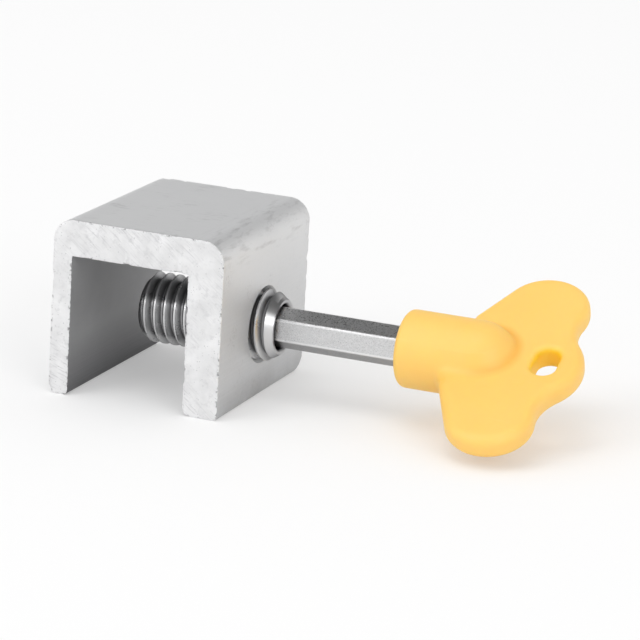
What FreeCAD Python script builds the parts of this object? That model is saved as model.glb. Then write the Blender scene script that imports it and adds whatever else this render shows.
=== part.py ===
import FreeCAD, Part
import math
import os
from FreeCAD import Vector

# Sliding window lock: a sawn length of aluminium channel hooks over the window track, a socket set
# screw in its thick wall clamps the track, and a hex key with a winged plastic handle turns the screw.
# Millimetres and degrees. +X runs along the screw towards the key, +Y along the channel, +Z is up.
# The origin is the middle of the channel's footprint, on the surface that its two legs stand on.

# Channel
CHANNEL_WIDTH = 25.0
CHANNEL_LENGTH = 30.0
CHANNEL_HEIGHT = 24.5
THIN_WALL = 2.8
TAPPED_WALL = 5.1
WEB = 5.0
SHOULDER_RADIUS = 3.0
FOOT_RADIUS = 1.2
KEEN_FOOT_RADIUS = 0.6

# Clamp screw, drawn over its thread crests
SCREW_HEIGHT = 10.0
SCREW_DIAMETER = 9.8
SCREW_LENGTH = 20.0
SCREW_PROUD = 2.9
SCREW_TIP_CHAMFER = 1.0
SCREW_END_CHAMFER = 1.2
BORE_CLEARANCE = 0.05
BORE_LEAD = 0.4

# Hexagon shared by the screw's socket and the key
HEX_ACROSS_FLATS = 5.0
HEX_LEAN = 4.6
SOCKET_DEPTH = 8.0
SOCKET_CLEARANCE = 0.15
SOCKET_LEAD = 0.3
SOCKET_DRILL_ANGLE = 120.0

# Key blade
BLADE_ENGAGED = 6.0
BLADE_EXPOSED = 17.8
BLADE_HELD = 10.5
BLADE_END_CHAMFER = 0.4

# Key handle: a barrel round the blade, two wing lobes and a tail with an eye for a key ring
WING_TILT = 24.0
BARREL_RADIUS = 5.35
BARREL_LENGTH = 10.6
BARREL_EDGE = 0.8
PLATE = 3.5
PLATE_EDGE = 1.0
ROOT_REACH = 12.0
ROOT_RADIUS = 7.25
LOBE_REACH = 16.1
LOBE_OFFSET = 11.8
LOBE_RADIUS = 5.95
TAIL_REACH = 17.3
TAIL_RADIUS = 7.65
NOTCH_RADIUS = 7.0
EYE_REACH = 20.0
EYE_WIDTH = 3.3
EYE_LENGTH = 5.4
EYE_EDGE = 0.6
BLEND_RADIUS = 1.6

# Places worked out from those sizes
OUTER_FACE_X = CHANNEL_WIDTH / 2
TAPPED_INNER_X = OUTER_FACE_X - TAPPED_WALL
THIN_INNER_X = THIN_WALL - CHANNEL_WIDTH / 2
SCREW_END_X = OUTER_FACE_X + SCREW_PROUD
SCREW_TIP_X = SCREW_END_X - SCREW_LENGTH
BLADE_TIP_X = SCREW_END_X - BLADE_ENGAGED
HANDLE_X = SCREW_END_X + BLADE_EXPOSED
BLADE_BACK_X = HANDLE_X + BLADE_HELD
AXIS = Vector(0, 0, SCREW_HEIGHT)
ALONG = Vector(1, 0, 0)


def rounded_face(corners):
    """Flat face in the XZ plane from (x, z, radius) corners, each rounded by a tangent arc."""
    points = [Vector(x, 0, z) for x, z, _ in corners]
    edges = []
    count = len(points)
    joints = []
    for i, (_, _, radius) in enumerate(corners):
        here = points[i]
        back = (points[i - 1] - here).normalize()
        ahead = (points[(i + 1) % count] - here).normalize()
        half_turn = back.getAngle(ahead) / 2
        reach = radius / math.tan(half_turn)
        middle = (back + ahead).normalize()
        crown = here + middle * (radius / math.sin(half_turn) - radius)
        joints.append((here + back * reach, crown, here + ahead * reach, radius))
    for i, (start, crown, end, radius) in enumerate(joints):
        if radius > 0:
            edges.append(Part.Arc(start, crown, end).toShape())
        edges.append(Part.makeLine(end, joints[(i + 1) % count][0]))
    return Part.Face(Part.Wire(edges))


def turned(profile):
    """Solid of revolution about the screw's axis from (x, radius) points."""
    points = [AXIS + Vector(x, 0, r) for x, r in profile]
    face = Part.Face(Part.makePolygon(points + points[:1]))
    return face.revolve(AXIS, ALONG, 360)


def hex_bar(across_flats, x_start, x_end):
    """Hexagonal bar on the screw's axis, with one corner leaning from upright towards +Y."""
    corner_radius = across_flats / math.sqrt(3)
    points = []
    for i in range(6):
        angle = math.radians(90 - HEX_LEAN + 60 * i)
        points.append(AXIS + Vector(x_start, corner_radius * math.cos(angle), corner_radius * math.sin(angle)))
    face = Part.Face(Part.makePolygon(points + points[:1]))
    return face.extrude(ALONG * (x_end - x_start))


def channel_body():
    half = CHANNEL_WIDTH / 2
    under_web = CHANNEL_HEIGHT - WEB
    section = rounded_face([
        (-half, 0, FOOT_RADIUS),
        (-half, CHANNEL_HEIGHT, SHOULDER_RADIUS),
        (half, CHANNEL_HEIGHT, SHOULDER_RADIUS),
        (half, 0, KEEN_FOOT_RADIUS),
        (TAPPED_INNER_X, 0, FOOT_RADIUS),
        (TAPPED_INNER_X, under_web, 0),
        (THIN_INNER_X, under_web, 0),
        (THIN_INNER_X, 0, KEEN_FOOT_RADIUS),
    ])
    section.translate(Vector(0, -CHANNEL_LENGTH / 2, 0))
    bar = section.extrude(Vector(0, CHANNEL_LENGTH, 0))
    bore = SCREW_DIAMETER / 2 + BORE_CLEARANCE
    tapped_hole = turned([
        (TAPPED_INNER_X - BORE_LEAD, 0),
        (TAPPED_INNER_X - BORE_LEAD, bore + 2 * BORE_LEAD),
        (TAPPED_INNER_X + BORE_LEAD, bore),
        (OUTER_FACE_X - BORE_LEAD, bore),
        (OUTER_FACE_X + BORE_LEAD, bore + 2 * BORE_LEAD),
        (OUTER_FACE_X + BORE_LEAD, 0),
    ])
    return bar.cut(tapped_hole)


def set_screw():
    crest = SCREW_DIAMETER / 2
    blank = turned([
        (SCREW_TIP_X, 0),
        (SCREW_TIP_X, crest - SCREW_TIP_CHAMFER),
        (SCREW_TIP_X + SCREW_TIP_CHAMFER, crest),
        (SCREW_END_X - SCREW_END_CHAMFER, crest),
        (SCREW_END_X, crest - SCREW_END_CHAMFER),
        (SCREW_END_X, 0),
    ])
    across = HEX_ACROSS_FLATS + 2 * SOCKET_CLEARANCE
    floor_x = SCREW_END_X - SOCKET_DEPTH
    socket = hex_bar(across, floor_x, SCREW_END_X)
    drill = across / 2
    drill_point = turned([
        (floor_x, 0),
        (floor_x, drill),
        (floor_x - drill / math.tan(math.radians(SOCKET_DRILL_ANGLE / 2)), 0),
    ])
    mouth = across / math.sqrt(3) + SOCKET_LEAD
    lead = turned([(SCREW_END_X, 0), (SCREW_END_X, mouth), (SCREW_END_X - mouth, 0)])
    return blank.cut(socket.fuse([drill_point, lead]))


def key_blade():
    corner = HEX_ACROSS_FLATS / math.sqrt(3)
    bar = hex_bar(HEX_ACROSS_FLATS, BLADE_TIP_X, BLADE_BACK_X)
    envelope = turned([
        (BLADE_TIP_X, 0),
        (BLADE_TIP_X, corner - BLADE_END_CHAMFER),
        (BLADE_TIP_X + BLADE_END_CHAMFER, corner + BLADE_END_CHAMFER),
        (BLADE_BACK_X, corner + BLADE_END_CHAMFER),
        (BLADE_BACK_X, 0),
    ])
    return bar.common(envelope)


def tangent_point(centre, radius, toward):
    return centre + (toward - centre).normalize() * radius


def wing_outline():
    """Plan of the plate in the XY plane: root, lobe, notch and tail arcs, mirrored about the axis."""
    root = Vector(HANDLE_X + ROOT_REACH, 0, 0)
    lobe = Vector(HANDLE_X + LOBE_REACH, LOBE_OFFSET, 0)
    tail = Vector(HANDLE_X + TAIL_REACH, 0, 0)

    # Leading edge: the line that touches the root and lobe circles on their front sides
    run = lobe - root
    lean = math.asin((ROOT_RADIUS - LOBE_RADIUS) / run.Length)
    heading = math.atan2(run.y, run.x) + math.pi / 2 - lean
    front = Vector(math.cos(heading), math.sin(heading), 0)
    root_touch = root + front * ROOT_RADIUS
    lobe_start = lobe + front * LOBE_RADIUS

    # Notch: the circle that touches the lobe and the tail from outside
    span = lobe - tail
    to_tail = TAIL_RADIUS + NOTCH_RADIUS
    to_lobe = LOBE_RADIUS + NOTCH_RADIUS
    along = (to_tail ** 2 - to_lobe ** 2 + span.Length ** 2) / (2 * span.Length)
    across = math.sqrt(to_tail ** 2 - along ** 2)
    unit = Vector(span).normalize()
    notch = tail + unit * along + Vector(unit.y, -unit.x, 0) * across
    lobe_end = tangent_point(lobe, LOBE_RADIUS, notch)
    tail_start = tangent_point(tail, TAIL_RADIUS, notch)
    notch_crown = tangent_point(notch, NOTCH_RADIUS, (lobe_end + tail_start) / 2)
    lobe_exit = math.atan2(notch.y - lobe.y, notch.x - lobe.x)
    outward = (heading + lobe_exit) / 2
    lobe_crown = lobe + Vector(math.cos(outward), math.sin(outward), 0) * LOBE_RADIUS

    def mirrored(point):
        return Vector(point.x, -point.y, 0)

    upper = [
        Part.makeLine(root_touch, lobe_start),
        Part.Arc(lobe_start, lobe_crown, lobe_end).toShape(),
        Part.Arc(lobe_end, notch_crown, tail_start).toShape(),
    ]
    lower = [
        Part.Arc(mirrored(tail_start), mirrored(notch_crown), mirrored(lobe_end)).toShape(),
        Part.Arc(mirrored(lobe_end), mirrored(lobe_crown), mirrored(lobe_start)).toShape(),
        Part.makeLine(mirrored(lobe_start), mirrored(root_touch)),
    ]
    tail_end = tail + ALONG * TAIL_RADIUS
    root_front = root - ALONG * ROOT_RADIUS
    tail_arc = Part.Arc(tail_start, tail_end, mirrored(tail_start)).toShape()
    root_arc = Part.Arc(mirrored(root_touch), root_front, root_touch).toShape()
    return Part.Face(Part.Wire(upper + [tail_arc] + lower + [root_arc]))


def eye_outline():
    """Oval of the key-ring eye in the XY plane, longer across the handle than along it."""
    centre_x = HANDLE_X + EYE_REACH
    half_width = EYE_WIDTH / 2
    left = Vector(centre_x - half_width, 0, 0)
    right = Vector(centre_x + half_width, 0, 0)
    rise = Vector(0, (EYE_LENGTH - EYE_WIDTH) / 2, 0)
    crown = rise + Vector(centre_x, half_width, 0)
    dip = Vector(centre_x, -half_width, 0) - rise
    return Part.Face(Part.Wire([
        Part.makeLine(left - rise, left + rise),
        Part.Arc(left + rise, crown, right + rise).toShape(),
        Part.makeLine(right + rise, right - rise),
        Part.Arc(right - rise, dip, left - rise).toShape(),
    ]))


def middle_of(edge):
    return edge.valueAt((edge.FirstParameter + edge.LastParameter) / 2)


def rims_of(plate, box, within):
    """Edges on the plate's two faces, either those within the box or those outside it."""
    rims = []
    for edge in plate.Edges:
        middle = middle_of(edge)
        on_face = abs(middle.z - PLATE / 2) > 0.49 * PLATE
        if on_face and box.isInside(middle) == within:
            rims.append(edge)
    return rims


def wing_plate():
    """The flat of the handle with its eye, lying level on the axis, every rim eased."""
    thickness = Vector(0, 0, PLATE)
    eye = eye_outline().extrude(thickness)
    plate = wing_outline().extrude(thickness).cut(eye)
    eye_box = eye.BoundBox
    eye_box.enlarge(2 * EYE_EDGE)
    plate = plate.makeChamfer(EYE_EDGE, rims_of(plate, eye_box, True))
    plate = plate.makeChamfer(PLATE_EDGE, rims_of(plate, eye_box, False))
    plate.translate(thickness / -2)
    return plate


def handle_barrel():
    """The round grip over the blade, lying on the X axis: an eased front edge and a domed nose."""
    dome_x = HANDLE_X + BARREL_LENGTH
    front = Vector(HANDLE_X, 0, 0)
    lip = Vector(HANDLE_X, 0, BARREL_RADIUS - BARREL_EDGE)
    shoulder = Vector(HANDLE_X + BARREL_EDGE, 0, BARREL_RADIUS)
    dome_start = Vector(dome_x, 0, BARREL_RADIUS)
    slant = BARREL_RADIUS * math.sqrt(0.5)
    dome_crown = Vector(dome_x + slant, 0, slant)
    nose = Vector(dome_x + BARREL_RADIUS, 0, 0)
    half_section = Part.Wire([
        Part.makePolygon([nose, front, lip, shoulder, dome_start]),
        Part.Arc(dome_start, dome_crown, nose).toShape(),
    ])
    return Part.Face(half_section).revolve(Vector(0, 0, 0), ALONG, 360)


def key_handle():
    plate = wing_plate()
    barrel = handle_barrel()
    crease = plate.section(barrel)
    handle = plate.fuse(barrel).removeSplitter()
    creases = []
    for edge in handle.Edges:
        if crease.distToShape(Part.Vertex(middle_of(edge)))[0] < 0.001:
            creases.append(edge)
    handle = handle.makeFillet(BLEND_RADIUS, creases)
    handle.rotate(Vector(0, 0, 0), ALONG, WING_TILT)
    handle.translate(AXIS)
    return handle.cut(hex_bar(HEX_ACROSS_FLATS, HANDLE_X, BLADE_BACK_X))


os.makedirs("parts", exist_ok=True)
for name, solid in (
    ("channel_body", channel_body()),
    ("set_screw", set_screw()),
    ("key_blade", key_blade()),
    ("key_handle", key_handle()),
):
    solid.exportStep("parts/" + name + ".step")
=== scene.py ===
# %% [markdown]
# # A sliding window lock, modelled and finished for its picture
# A sawn length of aluminium channel hooks over a window's track. A socket set screw in its thick wall
# clamps the track, and a hex key with a winged plastic handle turns the screw. The solids of the lock
# are already made, at their real size, and this lesson gives them the surface of the real thing.

# %% Load the fixed frame
import math

import bmesh
import bpy
from mathutils import Matrix, Vector, noise


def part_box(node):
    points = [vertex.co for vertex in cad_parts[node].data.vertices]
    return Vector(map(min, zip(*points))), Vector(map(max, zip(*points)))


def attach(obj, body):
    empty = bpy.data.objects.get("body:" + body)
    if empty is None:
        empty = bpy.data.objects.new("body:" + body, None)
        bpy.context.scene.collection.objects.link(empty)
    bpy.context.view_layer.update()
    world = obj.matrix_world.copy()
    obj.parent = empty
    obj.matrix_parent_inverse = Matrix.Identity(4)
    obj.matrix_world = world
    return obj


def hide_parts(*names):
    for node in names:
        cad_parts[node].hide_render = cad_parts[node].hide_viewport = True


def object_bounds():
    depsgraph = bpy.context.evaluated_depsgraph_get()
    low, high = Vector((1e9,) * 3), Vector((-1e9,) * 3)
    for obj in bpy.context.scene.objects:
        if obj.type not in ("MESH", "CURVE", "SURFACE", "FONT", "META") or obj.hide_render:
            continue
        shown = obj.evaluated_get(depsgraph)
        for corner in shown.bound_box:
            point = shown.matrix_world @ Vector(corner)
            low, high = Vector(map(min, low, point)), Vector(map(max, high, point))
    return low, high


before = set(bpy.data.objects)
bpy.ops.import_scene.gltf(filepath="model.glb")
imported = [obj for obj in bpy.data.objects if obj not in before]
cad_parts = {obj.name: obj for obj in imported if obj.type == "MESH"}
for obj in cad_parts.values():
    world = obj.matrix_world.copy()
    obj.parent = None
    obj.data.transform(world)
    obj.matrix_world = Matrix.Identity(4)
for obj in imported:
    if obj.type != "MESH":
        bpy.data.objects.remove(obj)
cad_low, cad_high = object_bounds()
print("lock measures", [round(side * 1000, 2) for side in cad_high - cad_low], "mm")

# %% [markdown]
# ## Measuring the frame
# Blender works in metres and a lock is spoken of in millimetres, so sizes below are written as a number
# of MM. What the solids already know, such as the screw's axis or the ends of the blade, is read
# from their boxes, so a change of size there carries over to every piece here.

# %% Read the places of the solids
MM = 0.001
ALONG = Vector((1, 0, 0))

channel_low, channel_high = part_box("channel_body")
screw_low, screw_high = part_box("set_screw")
blade_low, blade_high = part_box("key_blade")
handle_low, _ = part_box("key_handle")
SCREW_RADIUS = (screw_high.z - screw_low.z) / 2
AXIS = Vector((0, (screw_low.y + screw_high.y) / 2, (screw_low.z + screw_high.z) / 2))
print("screw axis at z", round(AXIS.z / MM, 2), "mm, crest radius", round(SCREW_RADIUS / MM, 2), "mm")

# %% [markdown]
# ## The camera
# The picture was taken with a long lens from the front right, a little above the lock and with a slight
# roll. A camera could be aimed with a Track To constraint, but a constraint can't hold a roll and an
# offset as well. Here its three axes are worked out from the angles and set as one matrix.

# %% Aim the camera
CAMERA_AZIMUTH = math.radians(21.13)
CAMERA_ELEVATION = math.radians(15.46)
CAMERA_ROLL = math.radians(3.43)
CAMERA_DISTANCE = 456.7 * MM
CAMERA_SIDEWAYS = 19.82 * MM
CAMERA_UP = 8.28 * MM
CAMERA_LENS = 185.0
CLIP_FROM, CLIP_TO = 0.01, 20

flat = math.cos(CAMERA_ELEVATION)
back = Vector((
    math.sin(CAMERA_AZIMUTH) * flat,
    -math.cos(CAMERA_AZIMUTH) * flat,
    math.sin(CAMERA_ELEVATION),
))
level_right = Vector((0, 0, 1)).cross(back).normalized()
right = Matrix.Rotation(CAMERA_ROLL, 3, back) @ level_right
up = back.cross(right)

camera = bpy.data.objects.new("camera", bpy.data.cameras.new("camera"))
camera.data.lens = CAMERA_LENS
camera.data.clip_start = CLIP_FROM
camera.data.clip_end = CLIP_TO
eye = right * CAMERA_SIDEWAYS + up * CAMERA_UP + back * CAMERA_DISTANCE
camera.matrix_world = Matrix.Translation(eye) @ Matrix((right, up, back)).transposed().to_4x4()
bpy.context.scene.collection.objects.link(camera)
bpy.context.scene.camera = camera
bpy.context.scene.view_settings.view_transform = "Standard"
print("camera", round(eye.length, 3), "m from the origin")

# %% [markdown]
# ## Helpers for node trees
# Floor, light and finishes are all small trees of shader nodes. Nodes could be placed one by one, with a
# line for each socket, but that is slow to read. One helper adds a node and fills its sockets, and three
# short ones cover what is needed most: a product, a product with a sum, and a ramp between two values.

# %% Node helpers
def put(tree, kind, settings=None, **sockets):
    """Adds a node and fills its inputs with values or links; i0, i1 and so on name an input by its place."""
    node = tree.nodes.new(kind)
    for name, value in (settings or {}).items():
        setattr(node, name, value)
    for name, value in sockets.items():
        by_place = name[0] == "i" and name[1:].isdigit()
        place = int(name[1:]) if by_place else name.replace("_", " ")
        if isinstance(value, bpy.types.NodeSocket):
            tree.links.new(value, node.inputs[place])
        else:
            node.inputs[place].default_value = value
    return node


def times(tree, first, second):
    """The product of two masks or numbers."""
    return put(tree, "ShaderNodeMath", {"operation": "MULTIPLY"}, i0=first, i1=second).outputs[0]


def times_plus(tree, mask, factor, rest):
    """A mask times a factor, added to the rest."""
    node = put(tree, "ShaderNodeMath", {"operation": "MULTIPLY_ADD"}, i0=mask, i1=factor, i2=rest)
    return node.outputs[0]


def ramp(tree, value, start, end, low=0.0, high=1.0):
    """Goes from low to high while the value goes from start to end, and is level beyond."""
    node = put(tree, "ShaderNodeMapRange", Value=value, From_Min=start, From_Max=end, To_Min=low, To_Max=high)
    return node.outputs[0]


print("node helpers ready")

# %% [markdown]
# ## The floor
# The lock stands on white paper. Paper that is white to the camera can be had by lighting it harder, but
# then the lock would burn out. So the paper glows a little for camera, mirror and glass rays only, and the
# rest of its brightness is plain reflected light, which keeps the lock's shadow.

# %% White floor
FLOOR_SIZE = 3.0

floor_mesh = bmesh.new()
bmesh.ops.create_grid(floor_mesh, x_segments=1, y_segments=1, size=FLOOR_SIZE)
floor_data = bpy.data.meshes.new("floor")
floor_mesh.to_mesh(floor_data)
floor_mesh.free()
floor = bpy.data.objects.new("floor", floor_data)
bpy.context.scene.collection.objects.link(floor)
print("floor", 2 * FLOOR_SIZE, "m square")

# %% White paper
PAPER_GLOW = 0.30
PAPER_WHITE = (0.88, 0.88, 0.88, 1)
PLAIN_WHITE = (1, 1, 1, 1)


def seen_directly(tree):
    """1 for the rays of the camera, of mirrors and of glass, and 0 for all others."""
    path = put(tree, "ShaderNodeLightPath")
    seen = path.outputs["Is Camera Ray"]
    for kind in ("Is Glossy Ray", "Is Transmission Ray"):
        seen = put(tree, "ShaderNodeMath", {"operation": "MAXIMUM"}, i0=seen, i1=path.outputs[kind]).outputs[0]
    return seen


paper = bpy.data.materials.new("white_paper")
paper.use_nodes = True
tree = paper.node_tree
tree.nodes.clear()
share = times(tree, seen_directly(tree), PAPER_GLOW)
matte = put(tree, "ShaderNodeBsdfDiffuse", Color=PAPER_WHITE)
glow = put(tree, "ShaderNodeEmission", Color=PLAIN_WHITE, Strength=1.0)
blend = put(tree, "ShaderNodeMixShader", i0=share, i1=matte.outputs[0], i2=glow.outputs[0])
put(tree, "ShaderNodeOutputMaterial", Surface=blend.outputs[0])
floor_data.materials.append(paper)
print("paper:", paper.name, "with a glow of", PAPER_GLOW)

# %% [markdown]
# ## The room
# Bare metal looks like the room it mirrors. A plain white world would turn all of it flat and pale, and a
# dark one would leave it black. In a studio the walls are white and the ceiling is dim, so what the camera
# and the mirrors see fades from the horizon upwards, while matte surfaces get one even fill.

# %% Room light that is white at the horizon and dim overhead
HORIZON = 0.95
CEILING = 0.12
FILL = 0.78
FADE_FROM, FADE_TO = 0.18, 0.64

world = bpy.data.worlds.new("studio")
world.use_nodes = True
bpy.context.scene.world = world
tree = world.node_tree
tree.nodes.clear()
toward = put(tree, "ShaderNodeTexCoord").outputs["Generated"]
steepness = put(tree, "ShaderNodeSeparateXYZ", Vector=toward).outputs["Z"]
fade = put(tree, "ShaderNodeMapRange", {"interpolation_type": "SMOOTHSTEP"}, Value=steepness,
           From_Min=FADE_FROM, From_Max=FADE_TO, To_Min=HORIZON, To_Max=CEILING).outputs[0]
strength = ramp(tree, seen_directly(tree), 0.0, 1.0, FILL, fade)
sky = put(tree, "ShaderNodeBackground", Color=PLAIN_WHITE, Strength=strength)
put(tree, "ShaderNodeOutputWorld", Surface=sky.outputs[0])
print("room light from", HORIZON, "at the horizon to", CEILING, "overhead")

# %% [markdown]
# ## The lamps
# The photo's light is soft and comes from the front. A sun would give hard shadows, so three large area
# lamps stand in for a photographer's soft boxes. Each is aimed by turning its own -Z to the lock.

# %% Soft boxes
SOFT_BOXES = {
    "front_left": ((-1.65, -2.25, 1.9), 1.7, 23.0),
    "front_right": ((2.25, -1.9, 1.5), 1.5, 20.0),
    "over_front": ((-0.3, -0.8, 3.0), 1.8, 17.0),
}
aim = (cad_low + cad_high) / 2
for name, (place, size, power) in SOFT_BOXES.items():
    lamp = bpy.data.lights.new(name, "AREA")
    lamp.size = size
    lamp.energy = power
    soft_box = bpy.data.objects.new(name, lamp)
    soft_box.location = place
    soft_box.rotation_euler = (aim - Vector(place)).to_track_quat("-Z", "Y").to_euler()
    bpy.context.scene.collection.objects.link(soft_box)
print("soft boxes:", ", ".join(SOFT_BOXES))

# %% [markdown]
# ## Helpers for the mesh pieces
# A piece starts as a bmesh, is shaped by operators, and some are then cut by a Boolean, as a tap or a mill
# would cut them. A Boolean leaves slivers where surfaces nearly touch, so the cut ends by welding points
# closer than a micron and by splitting faces of many corners.

# %% Cutting helpers
WELD = 0.0005 * MM
SLIVER = 0.001 * MM


def as_object(name, bm):
    """Wraps a bmesh in a linked object and frees it."""
    data = bpy.data.meshes.new(name)
    bm.to_mesh(data)
    bm.free()
    thing = bpy.data.objects.new(name, data)
    bpy.context.scene.collection.objects.link(thing)
    return thing


def baked(thing):
    """The object's mesh with its modifiers worked in, as a bmesh; the object itself is removed."""
    graph = bpy.context.evaluated_depsgraph_get()
    data = bpy.data.meshes.new_from_object(thing.evaluated_get(graph))
    bm = bmesh.new()
    bm.from_mesh(data)
    bpy.data.meshes.remove(data)
    bpy.data.objects.remove(thing)
    return bm


def split_large_faces(bm, **settings):
    """Triangulates the faces that have more than four corners."""
    bmesh.ops.triangulate(bm, faces=[face for face in bm.faces if len(face.verts) > 4], **settings)


def cut(base, steps):
    """Applies Boolean steps, given as (operation, tool bmesh), to a bmesh and returns the result."""
    blank = as_object("blank", base)
    tools = []
    for operation, tool in steps:
        tools.append(as_object("tool", tool))
        modifier = blank.modifiers.new(operation, "BOOLEAN")
        modifier.operation = operation
        modifier.solver = "EXACT"
        modifier.object = tools[-1]
    shaped = baked(blank)
    for tool in tools:
        bpy.data.objects.remove(tool)
    bmesh.ops.remove_doubles(shaped, verts=shaped.verts, dist=SLIVER)
    bmesh.ops.dissolve_degenerate(shaped, edges=shaped.edges, dist=SLIVER)
    split_large_faces(shaped, ngon_method="BEAUTY")
    return shaped


print("points closer than", SLIVER / MM, "mm are welded after a cut")

# %% [markdown]
# ## Setting a piece
# Every finished mesh takes the place of one plain solid and moves with its body. Shading all faces smooth
# would blur the edges, and flat shading would show every facet, so a face angle decides which edges stay
# sharp.

# %% Set a piece on its body
CREASE_ANGLE = math.radians(32)


def set_piece(name, bm, materials, body, node, crease=CREASE_ANGLE):
    """Finishes a piece: smooth faces with sharp creases, its finishes, its body and the solid it stands for."""
    for face in bm.faces:
        face.smooth = True
    for edge in bm.edges:
        edge.smooth = edge.calc_face_angle(math.pi) < crease
    piece = as_object(name, bm)
    for material in materials:
        piece.data.materials.append(material)
    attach(piece, body)
    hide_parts(node)
    triangles = sum(len(polygon.vertices) - 2 for polygon in piece.data.polygons)
    print(name, "has", triangles, "triangles")


print("edges stay sharp from", round(math.degrees(CREASE_ANGLE)), "degrees")

# %% [markdown]
# ## The thread
# The screw carries a metric thread with a pitch of 1.5 mm. A thread could be a bump in the finish, but its
# crests show against the light at the screw's edge, so it is made in the mesh. One row of teeth is drawn
# along the axis and spun once round it while it moves one pitch forward: the end of each turn then lands
# on the start of the next. The same row, a little larger, is the tap that cuts the hole in the channel.

# %% Spin a row of teeth into a threaded rod
PITCH = 1.5 * MM
THREAD_DEPTH = 0.85 * MM
CREST_FLAT = 0.22 * MM
ROOT_FLAT = 0.26 * MM
THREAD_STEPS = 64
THREAD_PHASE = 12.2 * MM


def describe(title, bm):
    """Prints how many faces a bmesh has, and how many of its edges are open."""
    print(title, len(bm.faces), "faces,", sum(edge.is_boundary for edge in bm.edges), "open edges")


def chain(bm, points):
    """Adds points to a bmesh, joined one to the next by edges."""
    verts = [bm.verts.new(point) for point in points]
    for pair in zip(verts, verts[1:]):
        bm.edges.new(pair)
    return verts


def threaded_rod(x_from, x_to, crest, depth):
    """A right-hand threaded rod that covers at least the stretch from x_from to x_to."""
    flank = (PITCH - CREST_FLAT - ROOT_FLAT) / 2
    tooth = (
        (0, crest - depth),
        (flank, crest),
        (flank + CREST_FLAT, crest),
        (2 * flank + CREST_FLAT, crest - depth),
    )
    first = math.floor((x_from - THREAD_PHASE) / PITCH) - 2
    last = math.ceil((x_to - THREAD_PHASE) / PITCH) + 1
    starts = [THREAD_PHASE + turn_number * PITCH for turn_number in range(first, last)]
    bm = bmesh.new()
    chain(bm, [AXIS + Vector((x + reach, 0, radius)) for x in starts for reach, radius in tooth])
    bmesh.ops.spin(bm, geom=bm.verts[:] + bm.edges[:], cent=AXIS, axis=ALONG, angle=math.tau,
                   dvec=ALONG * (PITCH / THREAD_STEPS), steps=THREAD_STEPS)
    bmesh.ops.remove_doubles(bm, verts=bm.verts, dist=WELD)
    bmesh.ops.holes_fill(bm, edges=[edge for edge in bm.edges if edge.is_boundary], sides=0)
    split_large_faces(bm)
    bmesh.ops.recalc_face_normals(bm, faces=bm.faces)
    return bm


rod = threaded_rod(screw_low.x, screw_high.x, SCREW_RADIUS, THREAD_DEPTH)
describe("threaded rod:", rod)

# %% [markdown]
# ## The hexagon
# The screw's socket and the key's blade share one hexagon, which leans a few degrees from upright. A
# cylinder with six sides would do, but it would have to be turned to the lean afterwards. A circle of six
# segments, already turned, gives the corners, and that face is drawn out along the axis.

# %% Hex bar
HEX_LEAN = math.radians(4.6)
HEX_FLATS = (blade_high.z - blade_low.z) * math.sqrt(3) / 2 / math.cos(HEX_LEAN)
TURN_TO_AXIS = Matrix.Rotation(math.pi / 2, 4, "Y")


def draw_out(bm, way):
    """Draws the faces of a flat bmesh out into a solid."""
    drawn = bmesh.ops.extrude_face_region(bm, geom=bm.faces[:])
    far = [item for item in drawn["geom"] if isinstance(item, bmesh.types.BMVert)]
    bmesh.ops.translate(bm, verts=far, vec=way)
    bmesh.ops.recalc_face_normals(bm, faces=bm.faces)


def hex_bar(across_flats, x_from, x_to):
    """A hexagonal bar on the screw's axis."""
    bm = bmesh.new()
    place = Matrix.Translation(AXIS + ALONG * x_from) @ TURN_TO_AXIS
    place = place @ Matrix.Rotation(math.radians(30) - HEX_LEAN, 4, "Z")
    bmesh.ops.create_circle(bm, cap_ends=True, segments=6, radius=across_flats / math.sqrt(3), matrix=place)
    draw_out(bm, ALONG * (x_to - x_from))
    return bm


print("hexagon", round(HEX_FLATS / MM, 2), "mm across flats")

# %% [markdown]
# ## Shared surface effects
# Three effects are used by more than one finish: fine scratches that run one way, small pits, and slow
# patches of lighter and darker metal. They could be copied from material to material, but a change would
# then have to be made in each. So each is a node group that puts out a mask from 0 to 1, and a finish
# decides how much of it goes to colour, roughness and bump.

# %% Scratches, pits and patches
STREAK_LEVEL = 0.72
STREAK_SOFTNESS = 0.22
PIT_CHANCE = (0.62, 0.35)
PIT_SOFTNESS = 0.12
PATCH_RANGE = (0.3, 0.7)


def new_group(name, **inputs):
    """A shader node group with its inputs and one output, a mask."""
    tree = bpy.data.node_groups.new(name, "ShaderNodeTree")
    tree.interface.new_socket("Vector", in_out="INPUT", socket_type="NodeSocketVector")
    for label, default in inputs.items():
        socket = tree.interface.new_socket(label, in_out="INPUT", socket_type="NodeSocketFloat")
        socket.default_value = default
    tree.interface.new_socket("Mask", in_out="OUTPUT", socket_type="NodeSocketFloat")
    return tree, tree.nodes.new("NodeGroupInput").outputs, tree.nodes.new("NodeGroupOutput").inputs["Mask"]


def scratches_group():
    """Thin streaks along the X direction of the vector that comes in."""
    tree, given, made = new_group("fine_scratches", Scale=1000.0, Stretch=0.05, Cover=0.5)
    narrow = put(tree, "ShaderNodeCombineXYZ", X=given["Stretch"], Y=1.0, Z=1.0).outputs[0]
    drawn = put(tree, "ShaderNodeVectorMath", {"operation": "MULTIPLY"}, i0=given["Vector"], i1=narrow)
    streaks = put(tree, "ShaderNodeTexNoise", Vector=drawn.outputs[0], Scale=given["Scale"],
                  Detail=3.0, Roughness=0.6).outputs[0]
    edge = times_plus(tree, given["Cover"], -1.0, STREAK_LEVEL)
    top = put(tree, "ShaderNodeMath", {"operation": "ADD"}, i0=edge, i1=STREAK_SOFTNESS).outputs[0]
    tree.links.new(ramp(tree, streaks, edge, top), made)
    return tree


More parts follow.
